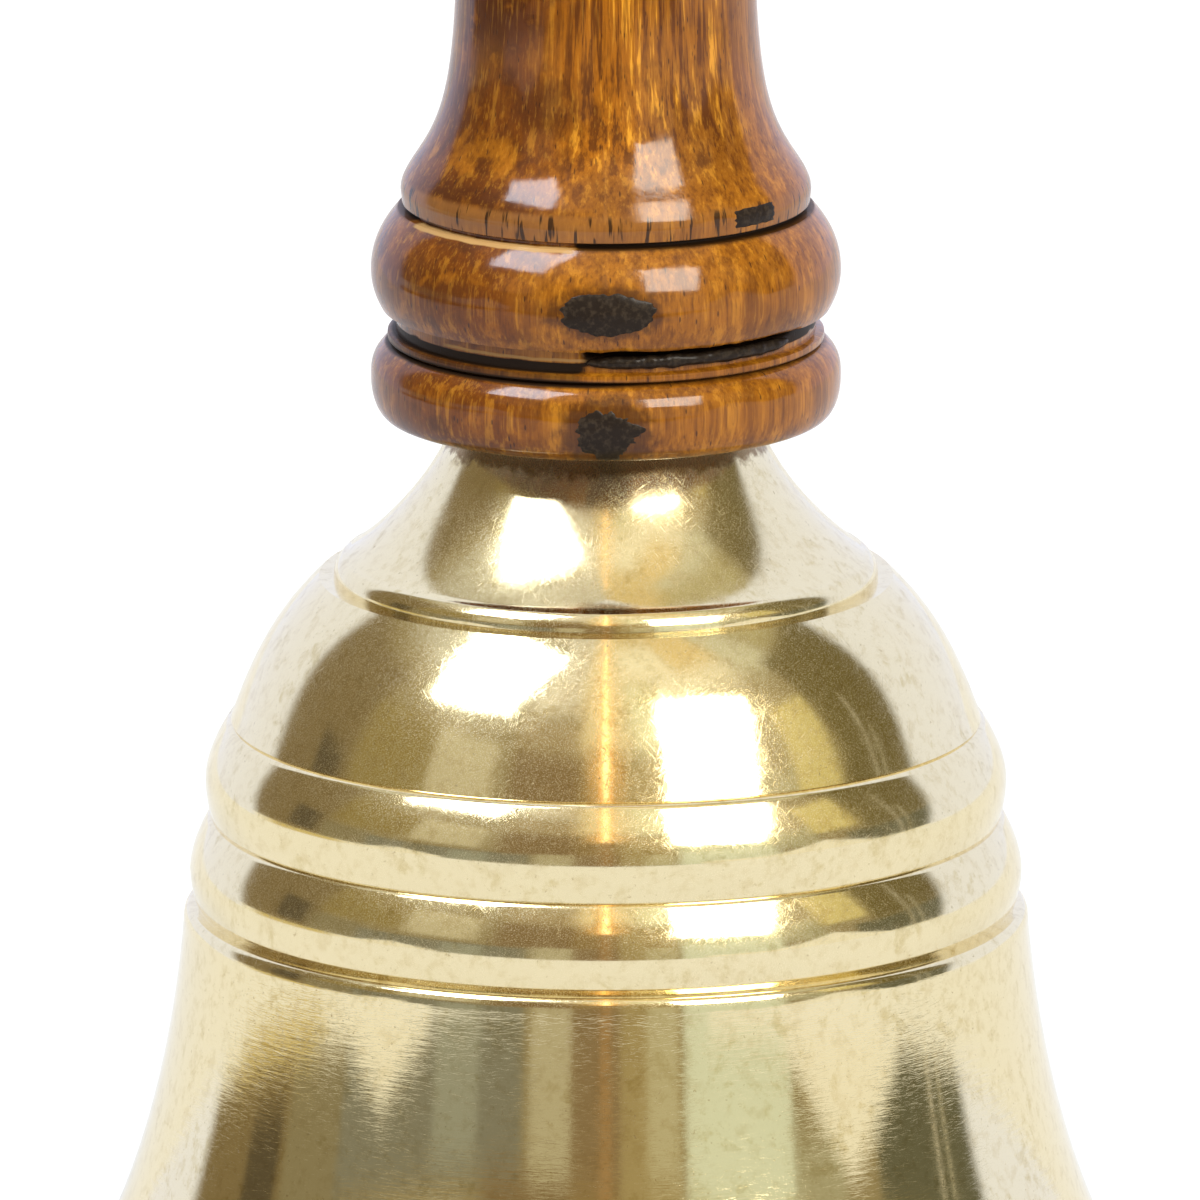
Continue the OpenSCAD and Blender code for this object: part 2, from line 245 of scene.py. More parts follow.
def lathe(name, outline, segments, shift=None, sharp_above=40, closed=True):
    """Turns an outline about Z. shift(angle, r, z) gives the radius a change, and corners are kept sharp."""
    n = len(outline)
    verts = []
    for r, z in outline:
        for j in range(segments):
            angle = 360.0 * j / segments - 180.0
            verts.append(around(angle, r + (shift(angle, r, z) if shift else 0.0), z))
    rows = n if closed else n - 1
    faces = []
    for i in range(rows):
        k = (i + 1) % n
        for j in range(segments):
            m = (j + 1) % segments
            faces.append((i * segments + j, i * segments + m, k * segments + m, k * segments + j))
    sharp = []
    for i in range(n):
        turn = corner_turn(outline[i - 1], outline[i], outline[(i + 1) % n])
        if math.degrees(turn) > sharp_above:
            sharp += [(i * segments + j, i * segments + (j + 1) % segments) for j in range(segments)]
    return new_object(name, verts, faces, sharp=sharp)


def tube(name, path, radius, sides=24):
    """A round wire along a path of points, with flat ends."""
    points = [Vector(p) for p in path]
    n = len(points)
    verts, faces = [], []
    side = None
    for i, p in enumerate(points):
        ahead = points[min(i + 1, n - 1)] - points[max(i - 1, 0)]
        ahead.normalize()
        if side is None:
            side = ahead.orthogonal().normalized()
        side = (side - ahead * side.dot(ahead)).normalized()
        up = ahead.cross(side)
        for j in range(sides):
            t = 2 * math.pi * j / sides
            verts.append(p + side * (radius * math.cos(t)) + up * (radius * math.sin(t)))
    for i in range(n - 1):
        k = i + 1
        for j in range(sides):
            m = (j + 1) % sides
            faces.append((i * sides + j, i * sides + m, k * sides + m, k * sides + j))
    faces.append(tuple(reversed(range(sides))))
    faces.append(tuple((n - 1) * sides + j for j in range(sides)))
    return new_object(name, verts, faces)


def ring_points(r, z, across_y, count, start, turn):
    """Points of an open ring that stands upright, in the XZ plane, or in the YZ plane if across_y. 0 is the top."""
    out = []
    for i in range(count + 1):
        a = math.radians(start + turn * i / count)
        u, v = r * math.sin(a), r * math.cos(a)
        out.append((0.0, u, z + v) if across_y else (u, 0.0, z + v))
    return out


def join(name, objects):
    """Joins meshes into one object."""
    verts, faces, smooth = [], [], []
    for obj in objects:
        base = len(verts)
        verts += [v.co / MM for v in obj.data.vertices]
        faces += [tuple(base + i for i in p.vertices) for p in obj.data.polygons]
        smooth += [p.use_smooth for p in obj.data.polygons]
        bpy.data.objects.remove(obj)
    made = new_object(name, verts, faces)
    made.data.polygons.foreach_set("use_smooth", smooth)
    return made


def place(obj, body, slot, material, *nodes):
    """Rides on a body, stands for CAD nodes and hides them, and takes the material given; slot is not used."""
    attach(obj, body)
    if nodes:
        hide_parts(*nodes)
    if material is not None:
        obj.data.materials.clear()
        obj.data.materials.append(material)
    return obj


# ---------------------------------------------------------------- shader building

class Shader:
    """A node tree. Its methods return sockets, and their inputs take sockets or plain numbers."""

    def __init__(self, tree):
        self.tree = tree
        tree.nodes.clear()

    def put(self, socket, value):
        if isinstance(value, bpy.types.NodeSocket):
            self.tree.links.new(value, socket)
        elif isinstance(value, (tuple, list)) and socket.type == "RGBA" and len(value) == 3:
            socket.default_value = (*value, 1.0)
        else:
            socket.default_value = value

    def node(self, kind, settings=None, **inputs):
        made = self.tree.nodes.new("ShaderNode" + kind)
        for key, value in (settings or {}).items():
            setattr(made, key, value)
        for key, value in inputs.items():
            self.put(made.inputs[key.replace("_", " ")], value)
        return made

    def math(self, operation, *values):
        made = self.node("Math", {"operation": operation})
        for socket, value in zip(made.inputs, values):
            self.put(socket, value)
        return made.outputs[0]

    def add(self, *values):
        total = values[0]
        for value in values[1:]:
            total = self.math("ADD", total, value)
        return total

    def mul(self, *values):
        total = values[0]
        for value in values[1:]:
            total = self.math("MULTIPLY", total, value)
        return total

    def sub(self, a, b):
        return self.math("SUBTRACT", a, b)

    def smooth(self, value, low, high, to_low=0.0, to_high=1.0):
        """Goes smoothly from to_low to to_high as value goes from low to high."""
        made = self.node("MapRange", {"interpolation_type": "SMOOTHSTEP"})
        for socket, v in zip(made.inputs, (value, low, high, to_low, to_high)):
            self.put(socket, v)
        return made.outputs[0]

    def between(self, value, low, high, soft):
        """1 between low and high, with soft edges."""
        rise = self.smooth(value, low - soft, low + soft)
        return self.mul(rise, self.smooth(value, high - soft, high + soft, 1.0, 0.0))

    def blend(self, factor, a, b, kind="MIX"):
        made = self.node("Mix", {"data_type": "RGBA", "blend_type": kind})
        self.put(made.inputs[0], factor)
        self.put(made.inputs[6], a)
        self.put(made.inputs[7], b)
        return made.outputs[2]

    def split(self, vector):
        made = self.node("SeparateXYZ")
        self.put(made.inputs[0], vector)
        return made.outputs

    def vector(self, x, y, z):
        return self.node("CombineXYZ", X=x, Y=y, Z=z).outputs[0]

    def dot(self, vector, axis):
        made = self.node("VectorMath", {"operation": "DOT_PRODUCT"})
        self.put(made.inputs[0], vector)
        self.put(made.inputs[1], tuple(axis))
        return made.outputs["Value"]

    def noise(self, vector, scale, detail=3.0, roughness=0.5, distortion=0.0):
        made = self.node("TexNoise", Scale=scale, Detail=detail, Roughness=roughness, Distortion=distortion)
        self.put(made.inputs["Vector"], vector)
        return made.outputs[0]

    def bump(self, height, distance, strength=1.0, normal=None):
        made = self.node("Bump", Height=height, Distance=distance, Strength=strength)
        if normal is not None:
            self.put(made.inputs["Normal"], normal)
        return made.outputs[0]

    def position(self):
        """The point in millimetres: x, y, z, the distance from the axis, and the angle from the front."""
        made = self.node("VectorMath", {"operation": "SCALE"})
        self.put(made.inputs[0], self.node("TexCoord").outputs["Object"])
        made.inputs["Scale"].default_value = 1 / MM
        x, y, z = self.split(made.outputs[0])
        radius = self.math("SQRT", self.add(self.mul(x, x), self.mul(y, y)))
        angle = self.math("DEGREES", self.math("ARCTAN2", x, self.mul(y, -1.0)))
        return x, y, z, radius, angle


def material(name):
    made = bpy.data.materials.new(name)
    made.use_nodes = True
    return made, Shader(made.node_tree)


def finish_material(s, **inputs):
    """The surface: a Principled shader with these inputs."""
    surface = s.node("BsdfPrincipled", **inputs)
    out = s.node("OutputMaterial")
    s.tree.links.new(surface.outputs[0], out.inputs["Surface"])


BRASS = (0.88, 0.755, 0.46)


def scratches(s, angle, radius, z, directions):
    """Fine scratches, about 1 where one runs: noise drawn out along each direction, in degrees from level."""
    level = s.mul(angle, radius, math.pi / 180)
    total = None
    for k, direction in enumerate(directions):
        turn = math.radians(direction)
        along = s.add(s.mul(level, math.cos(turn)), s.mul(z, math.sin(turn)))
        across = s.sub(s.mul(z, math.cos(turn)), s.mul(level, math.sin(turn)))
        drawn = s.vector(s.mul(along, 0.55), s.mul(across, 11.0), 5.0 * k)
        streak = s.smooth(s.noise(drawn, 1.0, 3.0, 0.6), 0.54, 0.74)
        total = streak if total is None else s.math("MAXIMUM", total, streak)
    return total


def polished_brass():
    """The outside of the bell: mirror polish on the dome and beads, turning marks on the skirt."""
    made, s = material("polished_brass")
    x, y, z, radius, angle = s.position()
    along_wall = s.sub(z, radius)
    skirt = s.smooth(z, SKIRT_H - 1.2, SKIRT_H - 0.3, 1.0, 0.0)
    # wide clouds, patches of dull skin, specks and fine scratches
    here = s.vector(x, y, z)
    clouds = s.noise(here, 0.16, 3.0, 0.6, 0.4)
    patches = s.noise(here, 0.9, 4.0, 0.65)
    specks = s.smooth(s.noise(here, 2.6, 2.0, 0.7), 0.66, 0.74)
    dull = s.smooth(clouds, 0.45, 0.75)
    off_skirt = s.sub(1.0, s.mul(skirt, 0.85))
    worn = s.smooth(patches, 0.35, 0.6, 0.3, 1.0)
    crossed = s.mul(scratches(s, angle, radius, z, (28, 74, -47)), worn, off_skirt)
    # tiny pits all over: they spread a faint halo round every bright reflection
    pits = s.smooth(s.noise(here, 24.0, 1.0), 0.61, 0.67)
    # rings left by turning: wide slow ones and fine ones, both only roughly round
    wander = s.mul(s.noise(s.vector(s.mul(angle, 0.02), 0.0, s.mul(z, 0.02)), 1.0, 2.0), 0.7)
    ring_at = s.add(along_wall, wander)
    wide_rings = s.noise(s.vector(s.mul(angle, 0.02), 0.0, ring_at), 1.1, 1.0)
    fine_rings = s.noise(s.vector(s.mul(angle, 0.05), 0.0, ring_at), 3.4, 3.0, 0.7)
    hatch = s.mul(scratches(s, angle, radius, z, (9, -7)), skirt)
    height = s.add(s.mul(wide_rings, s.add(0.0022, s.mul(skirt, 0.0026))),
                   s.mul(fine_rings, s.add(0.0003, s.mul(skirt, 0.0062))),
                   s.mul(patches, 0.0022), s.mul(specks, -0.0008), s.mul(crossed, -0.0007), s.mul(hatch, -0.0011))
    normal = s.bump(height, MM)
    crown = s.smooth(z, DOME_TOP + 1.5, DOME_TOP + 5.0)
    # painted reflection and shade: a brown band under the handle's foot, with a ragged lower edge, stands in for
    # the handle's underside mirrored in the brass; the band is also made duller
    foot_reflection_paint = s.smooth(s.add(z, s.mul(s.sub(patches, 0.5), 2.6)), FOOT_Z - 2.6, FOOT_Z - 1.9)
    skin = s.mul(s.add(s.mul(dull, 0.06), s.mul(patches, 0.06)), off_skirt)
    rough = s.add(0.04, s.mul(crown, 0.055), s.mul(foot_reflection_paint, 0.12), skin, s.mul(specks, 0.12),
                  s.mul(crossed, 0.20), s.mul(hatch, 0.14), s.mul(pits, s.smooth(skirt, 0.0, 1.0, 0.30, 0.10)))
    colour = s.blend(s.mul(s.smooth(patches, 0.46, 0.7), 0.34), BRASS, (0.66, 0.51, 0.24))
    stain = s.mul(s.smooth(s.noise(here, 0.3, 5.0, 0.7, 0.8), 0.52, 0.66), s.smooth(patches, 0.4, 0.6))
    colour = s.blend(s.mul(stain, 0.4), colour, (0.60, 0.46, 0.17))
    colour = s.blend(s.mul(specks, 0.45), colour, (0.42, 0.29, 0.11))
    # painted reflection of the handle's underside, as brown on the brass
    colour = s.blend(s.mul(foot_reflection_paint, 0.8), colour, (0.20, 0.10, 0.025))
    tangent = s.node("Tangent", {"direction_type": "RADIAL", "axis": "Z"}).outputs[0]
    finish_material(s, Base_Color=colour, Metallic=1.0, Roughness=rough, Normal=normal, Tangent=tangent,
                    Anisotropic=s.mul(skirt, 0.15), Anisotropic_Rotation=0.25)
    return made


def turned_brass():
    """The inside of the bell: coarse turning marks and brown tarnish."""
    made, s = material("turned_brass")
    x, y, z, radius, angle = s.position()
    here = s.vector(x, y, z)
    ring_at = s.sub(z, radius)
    rings = s.noise(s.vector(s.mul(angle, 0.01), 0.0, ring_at), 3.2, 3.0, 0.6)
    stain = s.smooth(s.noise(here, 0.2, 5.0, 0.62, 0.6), 0.4, 0.7)
    colour = s.blend(s.mul(stain, 0.75), (0.66, 0.50, 0.24), (0.27, 0.17, 0.07))
    normal = s.bump(s.mul(rings, 0.03), MM)
    finish_material(s, Base_Color=colour, Metallic=1.0, Roughness=s.add(0.3, s.mul(stain, 0.2)), Normal=normal)
    return made


# Clouds in the wood: angle from the front and height above the lip's top, half width in degrees and half height
# in millimetres, and how much darker, or below 0 how much more golden
CLOUDS = [
    (-48, 14.6, 26, 3.0, 0.85), (-20, 8.3, 17, 2.4, 0.7), (-62, 7.5, 18, 3.0, 0.4), (-46, 1.2, 28, 1.6, 0.8),
    (-44, 4.8, 16, 1.6, -0.5), (2, 2.6, 14, 2.0, 0.35), (34, 6.0, 22, 4.0, 0.35), (48, -8.6, 12, 2.6, 0.5),
    (-52, -5.6, 22, 2.2, 0.45), (-62, -8.8, 16, 1.8, -0.5), (-24, -10.0, 14, 1.8, -0.5), (-38, -17.5, 16, 1.6, 0.5),
    (36, -19.0, 12, 1.5, 0.3),
]


def lacquered_wood():
    """Golden-brown hardwood: long grain, short dark pores, mottling, stain round the knots, and clear lacquer."""
    made, s = material("lacquered_wood")
    x, y, z, radius, angle = s.position()
    here = s.vector(x, y, z)
    long_grain = s.noise(s.vector(x, y, s.mul(z, 0.035)), 1.15, 4.0, 0.66, 0.15)
    fine_grain = s.noise(s.vector(x, y, s.mul(z, 0.045)), 4.0, 3.0, 0.65)
    mottle = s.noise(s.vector(x, y, s.mul(z, 0.9)), 0.5, 4.0, 0.56, 0.25)
    cloud = s.noise(s.vector(x, y, s.mul(z, 0.5)), 0.13, 2.0, 0.5)
    # pores: cells that are narrow round the handle and long up it, each with its own chance of being dark
    arc_mm = s.mul(angle, 0.25)
    pore = s.node("TexVoronoi", {"feature": "F1"}, Scale=1.0, Randomness=1.0)
    s.put(pore.inputs["Vector"], s.vector(s.mul(arc_mm, 2.8), s.mul(radius, 0.2), s.mul(z, 0.75)))
    pore_dark = s.mul(s.smooth(pore.outputs["Distance"], 0.1, 0.22, 1.0, 0.0),
                      s.smooth(s.split(pore.outputs["Color"])[0], 0.55, 0.62))
    # the handle's left is browner and its right more golden; the front of the flare is palest, a painted glow
    golden = s.add(s.smooth(angle, -42, 10), s.mul(s.sub(cloud, 0.5), 1.2))
    pale = s.mul(s.smooth(z, LIP_Z1 + 1.0, LIP_Z1 + 6), s.between(angle, -20, 12, 9))
    gold, brown, dark = (0.235, 0.080, 0.004), (0.118, 0.030, 0.001), (0.022, 0.006, 0.001)
    colour = s.blend(s.smooth(golden, 0.1, 0.8), brown, gold)
    # painted glow: the front of the flare, beside the window highlight, is made paler
    colour = s.blend(s.mul(pale, 0.7), colour, (0.27, 0.084, 0.003))
    in_flare = s.smooth(z, LIP_Z1 + 1.0, LIP_Z1 + 8)
    streaked = s.add(0.25, s.mul(in_flare, s.between(angle, -14, 50, 10), 0.6))
    colour = s.blend(s.mul(s.smooth(long_grain, 0.50, 0.60), s.add(0.3, streaked)), colour, (0.10, 0.028, 0.002))
    colour = s.blend(s.mul(s.smooth(long_grain, 0.47, 0.37), streaked), colour, (0.62, 0.27, 0.020))
    # soft clouds of darker and of more golden wood, with ragged edges
    for at, up, wide, high, shade in CLOUDS:
        across = s.mul(s.sub(angle, at), 1 / wide)
        rise = s.mul(s.sub(z, LIP_Z1 + up), 1 / high)
        distance = s.math("SQRT", s.add(s.mul(across, across), s.mul(rise, rise)))
        ragged = s.add(distance, s.mul(s.sub(mottle, 0.5), 2.6))
        tone = (0.048, 0.011, 0.001) if shade > 0 else (0.30, 0.105, 0.004)
        colour = s.blend(s.smooth(ragged, 0.4, 1.25, abs(shade), 0.0), colour, tone)
    browner = s.smooth(golden, 0.1, 0.9, 1.0, 0.35)
    colour = s.blend(s.mul(s.smooth(mottle, 0.50, 0.68), browner, 0.75), colour, (0.055, 0.013, 0.001))
    colour = s.blend(s.mul(s.smooth(mottle, 0.47, 0.32), browner, 0.45), colour, (0.30, 0.098, 0.004))
    colour = s.blend(s.mul(s.smooth(fine_grain, 0.50, 0.68), 0.45), colour, (0.055, 0.014, 0.001))
    colour = s.blend(s.mul(s.smooth(fine_grain, 0.46, 0.30), 0.2), colour, (0.50, 0.23, 0.024))
    colour = s.blend(s.mul(pore_dark, 0.75), colour, dark)
    # short dark ticks that cross the lip
    on_lip = s.between(z, LIP_Z0 - 0.1, LIP_Z1 + 1.0, 0.25)
    ticks = s.smooth(s.noise(s.vector(s.mul(angle, 0.5), 0.0, s.mul(z, 0.25)), 1.0, 2.0, 0.6), 0.55, 0.62)
    colour = s.blend(s.mul(on_lip, s.smooth(angle, -30, 30, 0.7, 0.35)), colour, (0.21, 0.085, 0.020))
    colour = s.blend(s.mul(on_lip, ticks, 0.9), colour, (0.014, 0.005, 0.001))
    front = s.smooth(y, 0.0, -4.0)
    for node, spread in (("knot_filler_upper", 1.3), ("knot_filler_lower", 1.6)):
        low, high = extent(node)
        across = s.mul(x, 2 / (spread * (high.x - low.x)))
        up = s.mul(s.sub(z, (low.z + high.z) / 2), 2 / (spread * (high.z - low.z)))
        distance = s.math("SQRT", s.add(s.mul(across, across), s.mul(up, up)))
        ragged = s.add(distance, s.mul(s.sub(s.noise(here, 1.3, 3.0), 0.5), 0.6))
        colour = s.blend(s.mul(front, s.smooth(ragged, 0.72, 1.05, 0.75, 0.0)), colour, (0.034, 0.009, 0.001))
    # painted shade: the grooves, incised lines and broken places are darkened nearly to black, and their lacquer is
    # thinner
    groove = s.smooth(s.node("Attribute", {"attribute_name": "groove_shade"}).outputs["Fac"], 0.1, 0.7)
    colour = s.blend(groove, colour, (0.014, 0.007, 0.003))
    # raw wood shows where the upper bead's top edge has splintered
    ragged_z = s.add(z, s.mul(s.sub(s.noise(s.vector(s.mul(angle, 0.12), 0.0, 0.0), 1.0, 2.0), 0.5), 0.22))
    edge = s.between(ragged_z, LIP_GROOVE_Z - 0.22, LIP_GROOVE_Z + 0.08, 0.05)
    raw = s.mul(s.between(angle, *TORN_EDGE, 1.2), edge)
    ridge = GROOVE_Z0 + RIDGE_UP
    rim = s.mul(s.between(angle, -50, GASH[0], 2.0), s.between(ragged_z, ridge + 0.02, ridge + 0.24, 0.06))
    raw = s.math("MAXIMUM", raw, s.mul(rim, 0.75))
    colour = s.blend(raw, colour, (0.36, 0.21, 0.075))
    height = s.add(s.mul(fine_grain, 0.006), s.mul(pore_dark, -0.015), s.mul(s.noise(here, 0.8, 2.0), 0.02))
    normal = s.bump(height, MM)
    coat = s.bump(s.add(s.mul(s.noise(here, 0.5, 2.0), 0.014), s.mul(fine_grain, 0.0032)), MM)
    finish_material(s, Base_Color=colour, Roughness=0.5, Normal=normal, Specular_IOR_Level=0.05,
                    Sheen_Weight=0.12, Sheen_Roughness=0.22, Sheen_Tint=(1.0, 0.5, 0.24, 1.0),
                    Coat_Weight=s.mul(0.84, s.sub(1.0, s.mul(raw, 0.8)), s.sub(1.0, s.mul(groove, 0.85))),
                    Coat_Roughness=s.add(0.08, s.mul(s.smooth(mottle, 0.45, 0.6), 0.06)), Coat_IOR=1.42,
                    Coat_Normal=coat)
    return made


def dark_filler():
    """Old dark filler in the wood's flaws: grainy, nearly black, with a dull skin of lacquer."""
    made, s = material("dark_filler")
    x, y, z, radius, angle = s.position()
    here = s.vector(x, y, z)
    grain = s.noise(here, 2.4, 3.0, 0.6)
    colour = s.blend(s.smooth(grain, 0.44, 0.68), (0.012, 0.007, 0.004), (0.030, 0.020, 0.012))
    normal = s.bump(s.mul(grain, 0.05), MM)
    finish_material(s, Base_Color=colour, Roughness=0.5, Normal=normal, Specular_IOR_Level=0.1, Coat_Weight=0.15,
                    Coat_Roughness=0.2)
    return made


def steel(name, colour, rough, grain_scale, tint=(0.36, 0.34, 0.30)):
    """Steel with a fine grain, and dull spots of age."""
    made, s = material(name)
    x, y, z, radius, angle = s.position()
    here = s.vector(x, y, z)
    grain = s.noise(s.vector(x, y, s.mul(z, 2.5)), grain_scale, 4.0, 0.6)
    spots = s.smooth(s.noise(here, 0.8, 4.0, 0.65), 0.55, 0.72)
    shade = s.blend(s.mul(spots, 0.55), colour, tint)
    normal = s.bump(s.mul(grain, 0.012), MM)
    rough_here = s.add(rough, s.mul(spots, 0.2), s.mul(grain, 0.1))
    finish_material(s, Base_Color=shade, Metallic=1.0, Roughness=rough_here, Normal=normal)
    return made


def clapper_brass():
    """The ball: turned rings, and a duller band where it strikes."""
    made, s = material("clapper_brass")
    x, y, z, radius, angle = s.position()
    here = s.vector(x, y, z)
    rings = s.noise(s.vector(0.0, 0.0, z), 4.5, 3.0, 0.7)
    low, high = extent("clapper_ball")
    middle = (low.z + high.z) / 2
    dents = s.mul(s.smooth(s.noise(here, 1.1, 2.0), 0.58, 0.7), s.between(z, middle - 4, middle + 4, 1.5))
    stain = s.smooth(s.noise(here, 0.35, 4.0, 0.6), 0.42, 0.7)
    colour = s.blend(s.mul(stain, 0.6), (0.80, 0.62, 0.31), (0.42, 0.28, 0.12))
    normal = s.bump(s.add(s.mul(rings, 0.014), s.mul(dents, -0.04)), MM)
    rough = s.add(0.2, s.mul(stain, 0.14), s.mul(dents, 0.15))
    finish_material(s, Base_Color=colour, Metallic=1.0, Roughness=rough, Normal=normal)
    return made


# ---------------------------------------------------------------- pieces

def make_shell(outer, inner):
    outside, inside = shell_outside(), shell_inside()
    segments = 240
    body = lathe("bell_body", outside + inside, segments)
    place(body, "bell", "polished_brass", None, "bell_shell")
    body.data.materials.append(outer)
    body.data.materials.append(inner)
    first_inner = (len(outside) + 1) * segments
    count = len(body.data.polygons)
    body.data.polygons.foreach_set("material_index", [int(i >= first_inner) for i in range(count)])


def noise_at(angle, z, scale, seed=0.0):
    """Smooth noise on the wood's surface, about -1 to 1."""
    x, y, _ = around(angle, BEAD_R, 0.0)
    return noise.noise(Vector((x * scale, y * scale + seed, z * scale)))


GASH = (-6.0, 62.0)        # stretch of the dark groove whose upper edge is broken away
TORN_EDGE = (-66.0, -9.0)  # stretch of the upper bead's top edge that has splintered
RIDGE_UP = 0.78            # left of the gash, the groove's floor is dark up to a bare ridge this far above its foot


def gash_depth(angle, z):
    """How far the groove's upper edge has broken away here, from 0 to 1."""
    reach = 0.16 + 0.16 * noise_at(angle, 0.0, 0.35, 7.0) + 0.1 * noise_at(angle, 0.0, 1.3, 3.0)
    ends = ease((angle - GASH[0]) / 1.2) * ease((GASH[1] - angle) / 7.0)
    return ends * ease((GROOVE_Z1 + reach - z) / 0.3) * ease((z - GROOVE_Z1 + 0.6) / 0.3)


def torn_depth(angle, z):
    """How far the bead's top edge has splintered away here, from 0 to 1."""
    ends = ease((angle - TORN_EDGE[0]) / 5.0) * ease((TORN_EDGE[1] - angle) / 3.0)
    return ends * ease((z - LIP_GROOVE_Z + 0.35) / 0.15) * ease((LIP_GROOVE_Z + 0.1 - z) / 0.15)


def wood_shift(angle, r, z):
    """Hand-turned wander, the broken groove and the splintered edge."""
    if r < BORE_R + 0.1:
        return 0.0
    wander = 0.02 * noise_at(angle, z, 0.12, 2.0)
    return wander - 0.6 * gash_depth(angle, z) - 0.12 * torn_depth(angle, z)


def wood_groove_shade(angle, z):
    """How much painted shade darkens the turned grooves, incised lines and broken places."""
    rag = 0.12 * noise_at(angle, 0.0, 0.6, 1.0)
    left = ease((GASH[0] + 3 - angle) / 6)
    lower = ease((GROOVE_Z0 + RIDGE_UP + rag - z) / 0.12)
    upper = ease((z - GROOVE_Z0 - 0.5 + rag) / 0.15)
    floor = ease((z - GROOVE_Z0 + 0.1) / 0.2) * ease((GROOVE_Z1 - 0.05 - z) / 0.12) * mix(upper, lower, left)
    fillet = 0.45 * left * ease((z - LINE_Z) / 0.2) * ease((GROOVE_Z0 + 0.2 - z) / 0.3)
    line = ease(1 - abs(z - LINE_Z - 0.05) / 0.42)
    faint = 0.55 + 0.45 * ease((14 - angle) / 24)
    lip = ease((angle - TORN_EDGE[1] + 2) / 4) * ease(1 - abs(z - LIP_GROOVE_Z - 0.22) / 0.42)
    lip = max(lip, ease((TORN_EDGE[0] - angle) / 6) * ease(1 - abs(z - LIP_GROOVE_Z - 0.22) / 0.42))
    return clamp(max(floor, fillet, line * faint, lip, gash_depth(angle, z)))


def make_handle(material_made):
    bore = [(BORE_R, HANDLE_TOP), (BORE_R, FOOT_Z)]
    segments = 288
    wood = lathe("turned_handle", WOOD_OUTLINE + bore, segments, wood_shift)
    place(wood, "bell", "lacquered_wood", material_made, "handle")
    # painted shade for the grooves, incised lines and broken places, kept on the points for the wood's material
    groove_shade = wood.data.attributes.new("groove_shade", "FLOAT", "POINT")
    groove_shade_values = []
    for i, vertex in enumerate(wood.data.vertices):
        angle = 360.0 * (i % segments) / segments - 180.0
        z = vertex.co.z / MM
        groove_shade_values.append(wood_groove_shade(angle, z) if z < LIP_Z1 + 1 else 0.0)
    groove_shade.data.foreach_set("value", groove_shade_values)


def surface_patch(name, angle0, z0, shape, lift, depth, turns=144, rings=12):
    """A flaw's filler: a patch that follows the wood, a little proud of it, with its edge sunk in.
    shape(turn) gives the patch's edge as millimetres across and up."""
    verts = []
    for k in range(rings + 1):
        share = k / rings
        for j in range(turns):
            across, up = shape(360.0 * j / turns)
            across, up = across * share, up * share
            z = z0 + up
            r = wood_r(z)
            rough = 0.03 * noise.noise(Vector((across * 1.7, up * 1.7, z0)))
            fall = lift + rough * (1 - share ** 4) - 0.09 * share ** 8
            verts.append(around(angle0 + math.degrees(across / r), r + fall, z))
    for j in range(turns):
        across, up = shape(360.0 * j / turns)
        z = z0 + up
        r = wood_r(z)
        verts.append(around(angle0 + math.degrees(across / r), r - depth, z))
    faces = []
    for k in range(rings + 1):
        for j in range(turns):
            m = (j + 1) % turns
            a, b, c, d = k * turns + j, k * turns + m, (k + 1) * turns + m, (k + 1) * turns + j
            faces.append((a, b, c, d))
    base = (rings + 1) * turns
    faces.append(tuple(reversed(range(base, base + turns))))
    return new_object(name, verts, faces)


def blot(width, height, lobes, fine, seed, tail=0.0):
    """The ragged edge of a knot."""
    def shape(turn):
        a = math.radians(turn)
        ragged = 1 + lobes * (0.6 * math.sin(3 * a + 0.35) + 0.4 * math.sin(7 * a))
        ragged += fine * noise.noise(Vector((3.2 * math.cos(a), 3.2 * math.sin(a), seed)))
        ragged += 0.6 * fine * noise.noise(Vector((9.0 * math.cos(a), 9.0 * math.sin(a), seed)))
        drop = tail * max(0.0, -math.sin(a)) ** 12
        return width / 2 * ragged * math.cos(a), height / 2 * ragged * math.sin(a) - drop
    return shape


def block(width, height):
    """A rough rectangle with round corners."""
    def shape(turn):
        a = math.radians(turn)
        c, d = math.cos(a), math.sin(a)
        reach = 1 / max(abs(c), abs(d)) ** 0.8
        ragged = 1 + 0.12 * noise.noise(Vector((4 * c, 4 * d, 0.5)))
        return width / 2 * reach * c * ragged, height / 2 * reach * d * ragged
    return shape


